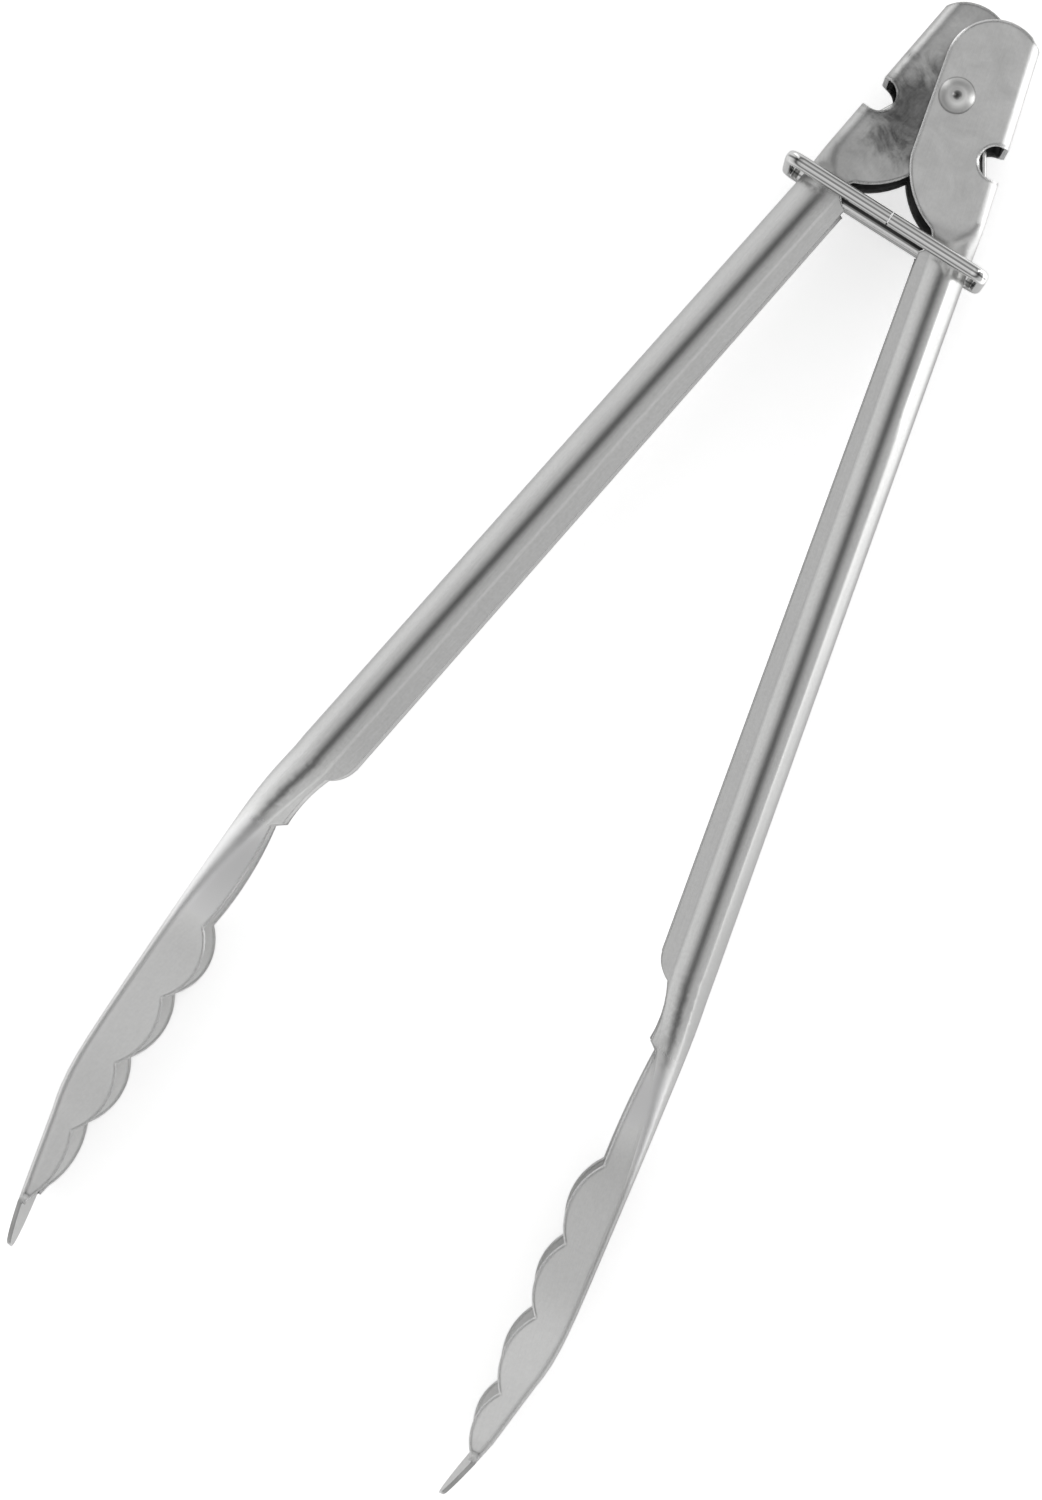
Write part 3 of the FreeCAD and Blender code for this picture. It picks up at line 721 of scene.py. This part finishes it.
# %% [markdown]
# ## The floor
#
# The tongs lie on a plain white sheet. It is a matt white surface with a little glow that only the
# camera sees, so that it reads as clean white but still takes the soft shadow. Metal sees a glow of
# its own, a painted reflection from a floor that is no lamp, which starts a few centimetres out
# from the arms. It brightens the lower part of each arm's back, most of all on the right, near the
# hinge.

# %% Floor
FLOOR_SIZE = 3.0
FLOOR_GAP = 0.0002
GLOW_FROM = -0.05
GLOW_TO = 0.15
EYE_GLOW = 0.48
# painted reflection: the glow that only metal sees, along Y on each side
LEFT_GLOW = [(0.0, 0.20), (0.32, 0.20), (0.70, 0.12), (1.0, 0.08)]
RIGHT_GLOW = [(0.0, 0.06), (0.13, 0.08), (0.32, 0.28), (0.52, 0.52), (0.70, 0.85)]


def make_floor():
    """A wide plain floor just under the tongs."""
    low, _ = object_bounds()
    height = low.z - FLOOR_GAP
    corners = [(x * FLOOR_SIZE, y * FLOOR_SIZE, height)
               for x, y in ((-1, -1), (1, -1), (1, 1), (-1, 1))]
    mesh = bpy.data.meshes.new("studio_floor")
    mesh.from_pydata(corners, [], [(0, 1, 2, 3)])
    floor = bpy.data.objects.new("studio_floor", mesh)
    bpy.context.scene.collection.objects.link(floor)
    return floor


def seen_by_metal(tree, rays):
    """1 for rays that a mirror-like or clear surface sends out."""
    return numbers(tree, "MAXIMUM", rays.outputs["Is Glossy Ray"],
                   rays.outputs["Is Transmission Ray"])


def side_glow(tree, stops, way):
    """Glow on one side: its own ramp along Y, starting some way out from the arm."""
    along = add(tree, "MapRange")
    along.inputs["From Min"].default_value = GLOW_FROM
    along.inputs["From Max"].default_value = GLOW_TO
    join(tree, split(tree, spot(tree)).outputs["Y"], along, "Value")
    return product(tree, ramp(tree, along, stops),
                   fade(tree, depth_from_pivot(tree, way), 0.022, 0.050))


def floor_finish():
    """Matt white with a glow for the eye and another for metal."""
    material, tree, shader = new_material("white_floor")
    shader.inputs["Base Color"].default_value = (0.86, 0.86, 0.86, 1.0)
    shader.inputs["Roughness"].default_value = 1.0
    shader.inputs["Specular IOR Level"].default_value = 0.0
    side = fade(tree, split(tree, spot(tree)).outputs["X"], -0.02, 0.02)
    mirrored = mixed(tree, side, side_glow(tree, LEFT_GLOW, INNER_LOOK["way"]),
                     side_glow(tree, RIGHT_GLOW, OUTER_LOOK["way"]))
    rays = add(tree, "LightPath")
    for_metal = product(tree, mirrored, seen_by_metal(tree, rays))
    for_eye = product(tree, rays.outputs["Is Camera Ray"], EYE_GLOW)
    glow = add(tree, "Emission", Color=(1.0, 1.0, 1.0, 1.0))
    join(tree, numbers(tree, "ADD", for_metal, for_eye), glow, "Strength")
    both = join(tree, shader, add(tree, "AddShader"), 0)
    join(tree, glow, both, 1)
    join(tree, both, find(material, "OUTPUT_MATERIAL"), "Surface")
    return material


floor = make_floor()
floor.data.materials.append(floor_finish())
print("floor at", round(floor.data.vertices[0].co.z, 5))

# %% [markdown]
# ## The studio
#
# Metal shows its surroundings, so the surroundings are drawn with care: a light tent with a
# broad overhead panel, a darker gap where the panel ends, and pale walls down to the floor. The
# gap is what draws the thin dark line along each half-round shaft. The tent is not quite even:
# its right side is brighter near the top, so each side has its own list of levels. A level
# belongs to an angle from straight up, and a ramp needs places from 0 to 1, so the angle is
# turned into one by its cosine.
#
# Matt surfaces would pick up stripes from that, so they get one plain level instead, and the
# eye sees plain white.

# %% Studio surroundings
LEFT_TENT = [(0, 0.72), (7, 0.69), (14, 0.62), (22, 0.56), (29, 0.41), (36, 0.20), (41, 0.12),
             (46, 0.14), (52, 0.30), (60, 0.50), (68, 0.68), (77, 0.73), (87, 0.83), (95, 0.90)]
RIGHT_TENT = [(0, 0.72), (3, 0.80), (9, 0.95), (16, 0.86), (23, 0.77), (30, 0.60), (38, 0.32),
              (45, 0.13), (51, 0.16), (56, 0.30), (62, 0.46), (70, 0.62), (88, 0.66), (95, 0.90)]
PLAIN_LEVEL = (0.80, 0.80, 0.80, 1.0)
WHITE = (1.0, 1.0, 1.0, 1.0)


def from_top(degrees):
    """Place on the ramp for a direction this far from straight up."""
    return (1.0 - math.cos(math.radians(degrees))) / 2.0


def light_tent(tree):
    """The tent as a colour: two ramps on the height of a direction, one for each side."""
    way = split(tree, add(tree, "TexCoord").outputs["Generated"])
    down = product(tree, rest(tree, way.outputs["Z"]), 0.5)
    left, right = [ramp(tree, down, [(from_top(angle), level) for angle, level in stops])
                   for stops in (LEFT_TENT, RIGHT_TENT)]
    return mixed(tree, fade(tree, way.outputs["X"], -0.15, 0.15), left, right)


def make_studio():
    """World light: plain for matt surfaces, white to the eye, a light tent to metal."""
    world = bpy.data.worlds.new("studio")
    world.use_nodes = True
    tree = world.node_tree
    tree.nodes.clear()
    rays = add(tree, "LightPath")
    for_metal = mixed(tree, seen_by_metal(tree, rays), PLAIN_LEVEL, light_tent(tree))
    seen = mixed(tree, rays.outputs["Is Camera Ray"], for_metal, WHITE)
    sky = join(tree, seen, add(tree, "Background", Strength=1.0), "Color")
    join(tree, sky, tree.nodes.new("ShaderNodeOutputWorld"), "Surface")
    return world


scene = bpy.context.scene
scene.world = make_studio()
print("studio surroundings set")

# %% [markdown]
# ## Lamps
#
# One wide soft lamp hangs over the table and gives the faint shadow a direction. It is large, so
# the shadow has no hard edge, and it is hidden from reflections, which the light tent handles.

# %% Soft lamp
PANEL_PLACE = (-0.5, 0.6, 1.6)
PANEL_TARGET = (0, 0, 0)
PANEL_SIZE = 1.6
PANEL_POWER = 3.0


def soft_lamp(name, place, target, size, power):
    """A square area lamp aimed at a point."""
    data = bpy.data.lights.new(name, "AREA")
    data.shape = "SQUARE"
    data.size = size
    data.energy = power
    lamp = bpy.data.objects.new(name, data)
    lamp.location = place
    way = Vector(target) - Vector(place)
    lamp.rotation_euler = way.to_track_quat("-Z", "Y").to_euler()
    lamp.visible_glossy = False
    scene.collection.objects.link(lamp)
    print(name, "power", power)


soft_lamp("overhead_panel", PANEL_PLACE, PANEL_TARGET, PANEL_SIZE, PANEL_POWER)

# %% [markdown]
# ## Cards beside the hinge
#
# The bends of the hinge cheeks would mirror the dark gap of the tent. A photographer stands a
# white card on each side of them. These are lamps that only mirror-like surfaces can see: they
# brighten the bends, most on the right, and change nothing else.

# %% Cards
CARD_AWAY = 0.11


def card(name, way, long, tall, along, up, level):
    """A glowing card that looks back at the hinge, moved along the arm and up from the pivot."""
    data = bpy.data.lights.new(name, "AREA")
    data.shape = "RECTANGLE"
    data.size = long
    data.size_y = tall
    data.energy = level * math.pi * long * tall
    upright = Vector((0, 0, 1))
    down_arm = way.cross(upright) * math.copysign(1, way.x)
    place = PIVOT + way * CARD_AWAY + down_arm * along + upright * up
    turn = Matrix((upright.cross(way), upright, way)).transposed()
    lamp = bpy.data.objects.new(name, data)
    lamp.matrix_world = Matrix.Translation(place) @ turn.to_4x4()
    lamp.visible_camera = False
    lamp.visible_diffuse = False
    lamp.visible_transmission = False
    scene.collection.objects.link(lamp)
    print(name, "level", level)


card("right_card", OUTER_LOOK["way"], 0.050, 0.14, -0.026, 0.065, 1.9)
card("right_low_card", OUTER_LOOK["way"], 0.055, 0.026, 0.028, 0.008, 1.6)
card("left_card", INNER_LOOK["way"], 0.050, 0.14, -0.026, 0.065, 0.75)

# %% [markdown]
# ## Camera
#
# The camera hangs straight over the tongs, a little more than a metre up, with a long lens. Its
# picture is turned by thirty degrees, so that the hinge is in the top right corner and the jaws
# are at the lower left. The direction of "up" in the picture is given as a vector, and the
# camera's three axes are built from it.

# %% Camera
CAMERA_PLACE = (0.01518, -0.02265, 1.25341)
CAMERA_TARGET = (-0.00986, -0.01795, 0.01841)
PICTURE_UP = (-0.4985, 0.8669, 0.0)
LENS = 152.6


def make_camera(place, target, up, lens):
    """A camera at a place, aimed at a target, with a given direction at the top of the picture."""
    data = bpy.data.cameras.new("camera")
    data.lens = lens
    data.sensor_width = 36.0
    data.sensor_fit = "AUTO"
    data.clip_start = 0.01
    camera = bpy.data.objects.new("camera", data)
    back = (Vector(place) - Vector(target)).normalized()
    right = Vector(up).cross(back).normalized()
    top = back.cross(right)
    turn = Matrix((right, top, back)).transposed()
    camera.matrix_world = Matrix.Translation(place) @ turn.to_4x4()
    scene.collection.objects.link(camera)
    return camera


camera = make_camera(CAMERA_PLACE, CAMERA_TARGET, PICTURE_UP, LENS)
scene.camera = camera
scene.view_settings.view_transform = "Standard"
print("camera at", [round(v, 4) for v in camera.location])
